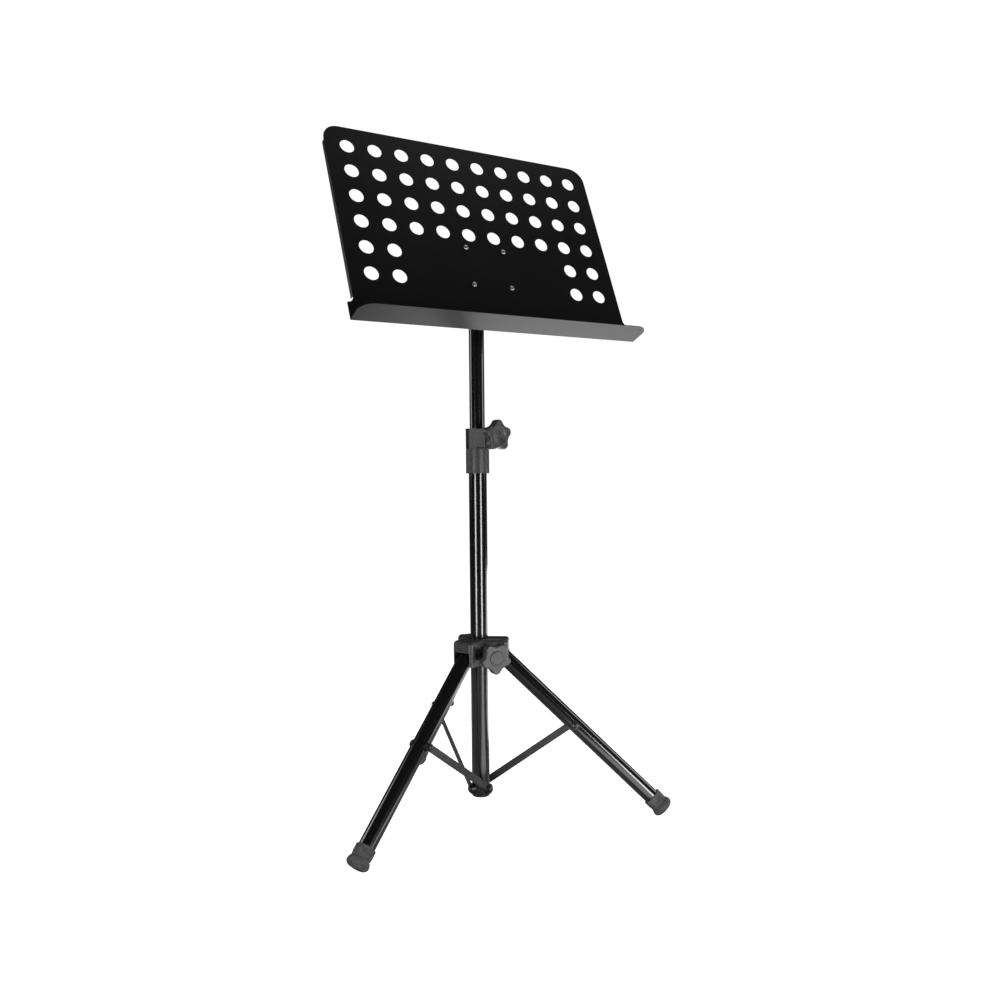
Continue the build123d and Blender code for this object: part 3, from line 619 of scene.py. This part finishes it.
def star_knob(name, dished, turn):
    body = plate(name, star_outline(), KNOB_NECK, KNOB_TOP)
    if dished:
        only(None)
        centre = (0, 0, (KNOB_TOP + DISH_BALL - DISH_DEPTH) * MM)
        radius = DISH_BALL * MM
        bpy.ops.mesh.primitive_uv_sphere_add(segments=96, ring_count=96, radius=radius, location=centre)
        cut(body, bpy.context.object)
    soften(body, 2.2, 5, 40)
    neck_points = [(3.1, 0), (9.0, 0), (9.5, 0.5), (9.5, KNOB_NECK + 1), (3.1, KNOB_NECK + 1), (3.1, 0)]
    neck = lathe(name + "_neck", neck_points)
    soften(neck, 0.3, 2, 30)
    pieces = [body, neck]
    if not dished:
        cap_points = [(0, -1), (12.5, -1), (12.5, 0.9), (11.8, 1.6)]
        cap_points += [(9.6, 1.6), (9.2, 1.1), (0, 1.1), (0, -1)]
        cap = lathe(name + "_cap", [(radius, KNOB_TOP + height) for radius, height in cap_points], 72)
        soften(cap, 0.25, 2, 30)
        pieces.append(cap)
    knob = join(name, pieces)
    seat(knob, Matrix.Rotation(math.radians(turn), 4, "Z"))
    return knob


collar_knob = star_knob("collar_star_knob", True, 90)
seat(collar_knob, knob_seat("collar_knob_turn", COLLAR_KNOB_REACH))
finished(collar_knob, "collar_knob")
hub_knob = star_knob("hub_star_knob", False, -90)
seat(hub_knob, knob_seat("hub_knob_turn", HUB_KNOB_REACH))
finished(hub_knob, "hub_knob")
tilt_knob = star_knob("tilt_star_knob", False, 0)
tilt_axis = Vector((1, 0, 0))
seat(tilt_knob, seat_matrix(joint_point("desk_tilt") + TILT_KNOB_REACH * MM * tilt_axis, UP, tilt_axis))
finished(tilt_knob, "tilt_knob")

# %% [markdown]
# ## Fasteners
# Small things carry the scale of the whole stand. A domed head is spun from a short arc and
# a cross or a socket is cut into it. A hexagon nut is a six-sided cylinder, drilled through
# and chamfered, with the nylon ring that keeps it from shaking loose.

# %% Heads and nuts
def domed_head(radius, height, shank_radius, shank_end):
    """Half outline of a domed head on z = 0 with a shank below it."""
    flat = 0.15 * radius
    rise = 0.35 * height
    points = [(0, shank_end), (shank_radius - 0.3, shank_end), (shank_radius, shank_end + 0.3)]
    points += [(shank_radius, 0), (radius, 0), (radius, rise)]
    for index in range(1, 7):
        share = math.radians(90 * index / 6)
        points.append((flat + (radius - flat) * math.cos(share), rise + (height - rise) * math.sin(share)))
    return points + [(0, height)]


def cross_recess(piece, size, floor):
    """Cuts a cross-shaped driver recess down to the given height."""
    for turn in (0, 90):
        only(None)
        bpy.ops.mesh.primitive_cube_add(size=MM, location=(0, 0, (floor + 5) * MM))
        blade = bpy.context.object
        blade.scale = (size, size / 4, 10)
        blade.rotation_euler = (0, 0, math.radians(turn))
        cut(piece, blade)


def hexagon(name, flats, bottom, top, bore):
    nut = cylinder(name, flats / math.sqrt(3), bottom, top, 6)
    cut(nut, cylinder("drill", bore, bottom - 1, top + 1, 48))
    soften(nut, 0.45, 2, 40)
    return nut


SCREW_OFFSET = 35
SHEET_AND_PLATE = 3.7
offsets = (-SCREW_OFFSET, SCREW_OFFSET)
SCREW_SPOTS = [(x, DESK_PIVOT_RISE + z) for x in offsets for z in offsets]
screw = lathe("panel_screw", domed_head(4.2, 2.6, 2.5, -10.6), 48)
cross_recess(screw, 4.0, 1.3)
soften(screw, 0.12, 2, 35)
screws = seat_copies(screw, [desk_seat(x, 0, z) for x, z in SCREW_SPOTS])
finished(screws, "desk_screws")

flange = lathe("panel_nut_flange", [(2.55, 0), (5.2, 0), (5.2, 0.6), (4.6, 1.2), (2.55, 1.2), (2.55, 0)], 48)
panel_nut = join("panel_nut", [hexagon("hexagon", 8.0, 1.0, 5.5, 2.55), flange])
facing_back = Matrix.Rotation(math.pi, 4, "X")
nuts = seat_copies(panel_nut, [desk_seat(x, SHEET_AND_PLATE, z) @ facing_back for x, z in SCREW_SPOTS])
finished(nuts, "desk_nuts")

# %% Tilt bolt and washer
bolt_head = hexagon("tilt_bolt_head", 13.0, -25.3, -20.0, 3.9)
bolt_shank = lathe("tilt_bolt_shank", [(0, -25.0), (4, -25.0), (4, 34.2), (3.4, 35.0), (0, 35.0)], 48)
mark_points = [(0, -24.6), (0, -25.2), (4.2, -25.2), (4.4, -25.0), (4.4, -24.6), (0, -24.6)]
bolt_mark = lathe("tilt_bolt_mark", mark_points, 48)
tilt_bolt = join("tilt_bolt_steel", [bolt_head, bolt_shank, bolt_mark])
seat(tilt_bolt, seat_matrix(joint_point("desk_tilt"), UP, tilt_axis))
finished(tilt_bolt, "tilt_bolt")
washer = lathe("tilt_washer_steel", [(4.1, 20.0), (9.0, 20.0), (9.0, 21.6), (4.1, 21.6), (4.1, 20.0)], 64)
soften(washer, 0.25, 2, 40)
seat(washer, seat_matrix(joint_point("desk_tilt"), UP, tilt_axis))
finished(washer, "tilt_washer")

# %% [markdown]
# ### Tripod bolts
# Each leg hangs on a bolt through the hub's clevis, and meets its brace at a second bolt.
# The braces are riveted to the foot of the mast. All of these lie across a leg, so they are
# modelled along Z and seated with Z along the leg's pivot axis.

# %% Bolts, rivets and nuts of the tripod
EAR = 20.5
NUT_FLATS = 9.6
NUT_HEIGHT = 4.6
BRACE_THICKNESS = 2.0
SADDLE_THICKNESS = 1.2
RIVET_WASHER = 1.2
RIVET_GAP = 0.1
TUBE_SADDLE = LEG_RADIUS + SADDLE_THICKNESS


def across_seat(point, side):
    return seat_matrix(point, UP, joint_axis("leg_" + side + "_hinge"))


def bolt_point(side):
    """Where the brace's bolt crosses the leg's middle line."""
    return leg_seat(side, BRACE_ON_LEG).translation


def rivet_point(side):
    height = joint_point("brace_" + side + "_hinge").z
    return MAST + Vector((0, 0, height))


turned_over = Matrix.Rotation(math.pi, 4, "X")
pivot_bolt = lathe("clevis_bolt", domed_head(5.6, 3.4, 3.0, -EAR - EAR - 6.0), 48)
cut(pivot_bolt, cylinder("socket", 2.2, 1.4, 6, 6))
soften(pivot_bolt, 0.15, 2, 35)
head_side = Matrix.Translation((0, 0, -EAR * MM)) @ turned_over
places = [across_seat(joint_point("leg_" + side + "_hinge"), side) @ head_side for side in LEGS]
finished(seat_copies(pivot_bolt, places), "pivot_bolts")

pivot_nut = hexagon("clevis_nut", NUT_FLATS, EAR, EAR + NUT_HEIGHT, 3.0)
places = [across_seat(joint_point("leg_" + side + "_hinge"), side) for side in LEGS]
finished(seat_copies(pivot_nut, places), "pivot_nuts")

rivet_head = lathe("brace_rivet", domed_head(5.8, 3.4, 3.0, -8.0), 48)
soften(rivet_head, 0.15, 2, 40)
washer_profile = [(2.9, -RIVET_WASHER), (8.3, -RIVET_WASHER), (8.3, 0), (2.9, 0), (2.9, -RIVET_WASHER)]
rivet_washer = lathe("rivet_washer", washer_profile, 64)
soften(rivet_washer, 0.25, 2, 40)
rivet = join("brace_rivet", [rivet_head, rivet_washer])
rivet_face = Matrix.Translation((0, 0, (BRACE_FACE + BRACE_THICKNESS + RIVET_GAP + RIVET_WASHER) * MM))
places = [across_seat(rivet_point(side), side) @ rivet_face for side in LEGS]
finished(seat_copies(rivet, places), "brace_rivets")

# %% Brace bolts and their nuts
for side in LEGS:
    seat_here = across_seat(bolt_point(side), side)
    bolt = lathe("leg_bolt_" + side, domed_head(6.4, 3.8, 3.0, -TUBE_SADDLE - BRACE_FACE + 0.3), 48)
    cut(bolt, cylinder("socket", 2.4, 1.6, 6, 6))
    soften(bolt, 0.18, 2, 35)
    seat(bolt, seat_here @ Matrix.Translation((0, 0, -TUBE_SADDLE * MM)) @ turned_over)
    finished(bolt, "brace_bolt_" + side)
    outside = BRACE_FACE + BRACE_THICKNESS
    under = lathe("under", [(3, outside), (6, outside), (6, outside + 1), (3, outside + 1), (3, outside)], 48)
    soften(under, 0.2, 2, 40)
    flats = hexagon("flats", NUT_FLATS, outside + 1.0, outside + NUT_HEIGHT, 3.05)
    collar_points = [(3.05, outside + 4.5), (4.2, outside + 4.5), (4.2, outside + 5.2), (3.6, outside + 5.6)]
    insert = lathe("insert", collar_points + [(3.05, outside + 5.6), (3.05, outside + 4.5)], 48)
    tip_points = [(0, BRACE_FACE), (3, BRACE_FACE), (3, outside + 5.9), (2.5, outside + 6.4)]
    tip = lathe("tip", tip_points + [(0, outside + 6.4)], 48)
    nut = join("leg_lock_nut_" + side, [flats, under, insert, tip])
    seat(nut, seat_here)
    finished(nut, "brace_nut_" + side)

# %% [markdown]
# ### End plug
# The plug that closes the foot of the mast is a shallow cap with a rounded rim.

# %% End plug
plug_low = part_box("mast_end_plug")[0][2] / MM
rim = [(13.4, 4.5), (13.4, 2.5), (15, 2.5), (15, 1.6)] + arc((13.4, 1.6), 1.6, 0, -90, 5)
plug = lathe("mast_foot_plug", [(0, 2.5), (11.5, 2.5), (11.5, 7), (13.5, 7)] + rim[1:] + [(0, 0)], 96)
soften(plug, 0.2, 2, 50)
seat(plug, mast_seat(plug_low))
finished(plug, "mast_end_plug")

# %% [markdown]
# ## Studio
# The stand is shown as in a shop picture: a white ground, two low softboxes in front that
# draw the two long streaks on the mast, high panels at the sides for the inner tube's
# edges, and a lamp above. A card on the floor to the right carries the right streak down to
# the foot of the mast, and a wide one behind lights the underside of the ledge. The room is
# white behind the stand but dim elsewhere, so that gloss black stays black between the
# streaks.

# %% Floor and room
only(None)
bpy.ops.mesh.primitive_plane_add(size=60)
floor = bpy.context.object
floor.name = "studio_floor"
floor_finish = bpy.data.materials.new("pale_floor")
floor_finish.use_nodes = True
floor_shader = floor_finish.node_tree.nodes["Principled BSDF"]
floor_shader.inputs["Base Color"].default_value = (0.8, 0.8, 0.8, 1)
floor_shader.inputs["Emission Color"].default_value = (1, 1, 1, 1)
floor_shader.inputs["Roughness"].default_value = 0.9
floor_ray = floor_finish.node_tree.nodes.new("ShaderNodeLightPath")
floor_finish.node_tree.links.new(floor_ray.outputs["Is Camera Ray"], floor_shader.inputs["Emission Strength"])
floor.data.materials.append(floor_finish)

world = bpy.data.worlds.new("studio_room")
bpy.context.scene.world = world
world.use_nodes = True
room = world.node_tree
seen = room.nodes.new("ShaderNodeBackground")
seen.inputs["Color"].default_value = (1, 1, 1, 1)
seen.inputs["Strength"].default_value = 1.05
lit = room.nodes["Background"]
lit.inputs["Color"].default_value = (1, 1, 1, 1)
lit.inputs["Strength"].default_value = 0.05
ray = room.nodes.new("ShaderNodeLightPath")
choice = room.nodes.new("ShaderNodeMixShader")
room.links.new(ray.outputs["Is Camera Ray"], choice.inputs["Fac"])
room.links.new(lit.outputs["Background"], choice.inputs[1])
room.links.new(seen.outputs["Background"], choice.inputs[2])
room.links.new(choice.outputs["Shader"], room.nodes["World Output"].inputs["Surface"])

# %% Camera
CAMERA_AZIMUTH = math.radians(-29.2)
CAMERA_DISTANCE = 1.615
CAMERA_HEIGHT = 0.5693
CAMERA_PAN = math.radians(-1.31)
CAMERA_TILT = math.radians(-1.5)
CAMERA_ROLL = math.radians(0.55)


def around_mast(azimuth, distance, height):
    """A point seen from the mast at an azimuth, where 0 is straight in front of the desk."""
    return MAST + Vector((math.sin(azimuth) * distance, -math.cos(azimuth) * distance, height))


camera_data = bpy.data.cameras.new("shop_camera")
camera_data.lens = 34.66
camera = bpy.data.objects.new("shop_camera", camera_data)
bpy.context.scene.collection.objects.link(camera)
heading = Matrix.Rotation(CAMERA_AZIMUTH + CAMERA_PAN, 4, "Z")
nod = Matrix.Rotation(CAMERA_TILT, 4, "X") @ Matrix.Rotation(CAMERA_ROLL, 4, "Y")
level = Matrix.Rotation(math.radians(90), 4, "X")
place = Matrix.Translation(around_mast(CAMERA_AZIMUTH, CAMERA_DISTANCE, CAMERA_HEIGHT))
camera.matrix_world = place @ heading @ nod @ level
bpy.context.scene.camera = camera


# %% Lights
def softbox(name, azimuth, distance, height, size, watts, aim_height):
    """A rectangular lamp beside the camera, turned to face the mast."""
    lamp_data = bpy.data.lights.new(name, "AREA")
    lamp_data.shape = "RECTANGLE"
    lamp_data.size, lamp_data.size_y = size
    lamp_data.energy = watts
    lamp = bpy.data.objects.new(name, lamp_data)
    bpy.context.scene.collection.objects.link(lamp)
    point = around_mast(CAMERA_AZIMUTH + math.radians(azimuth), distance, height)
    target = MAST + Vector((0, 0, aim_height))
    lamp.matrix_world = seat_matrix(point, UP.cross(point - target), point - target)


softbox("front_left_softbox", -34, 1.7, 0.31, (0.42, 0.6), 12, 0.31)
softbox("front_right_softbox", 38, 1.7, 0.31, (0.42, 0.6), 13, 0.31)
softbox("left_side_panel", -100, 1.5, 1.02, (0.5, 0.84), 5, 1.02)
softbox("right_side_panel", 98, 1.5, 1.02, (0.5, 0.84), 5, 1.02)
softbox("overhead_lamp", 150, 1.0, 2.6, (1.6, 1.6), 12, 0.2)
softbox("floor_bounce", 140, 0.5, 0.03, (1.5, 1.2), 19, 1.0)
softbox("front_right_floor_card", 38, 0.75, 0.1, (0.3, 1.1), 2.6, 4.0)
bpy.context.scene.view_settings.view_transform = "Standard"

# %% Update the scene
bpy.context.view_layer.update()
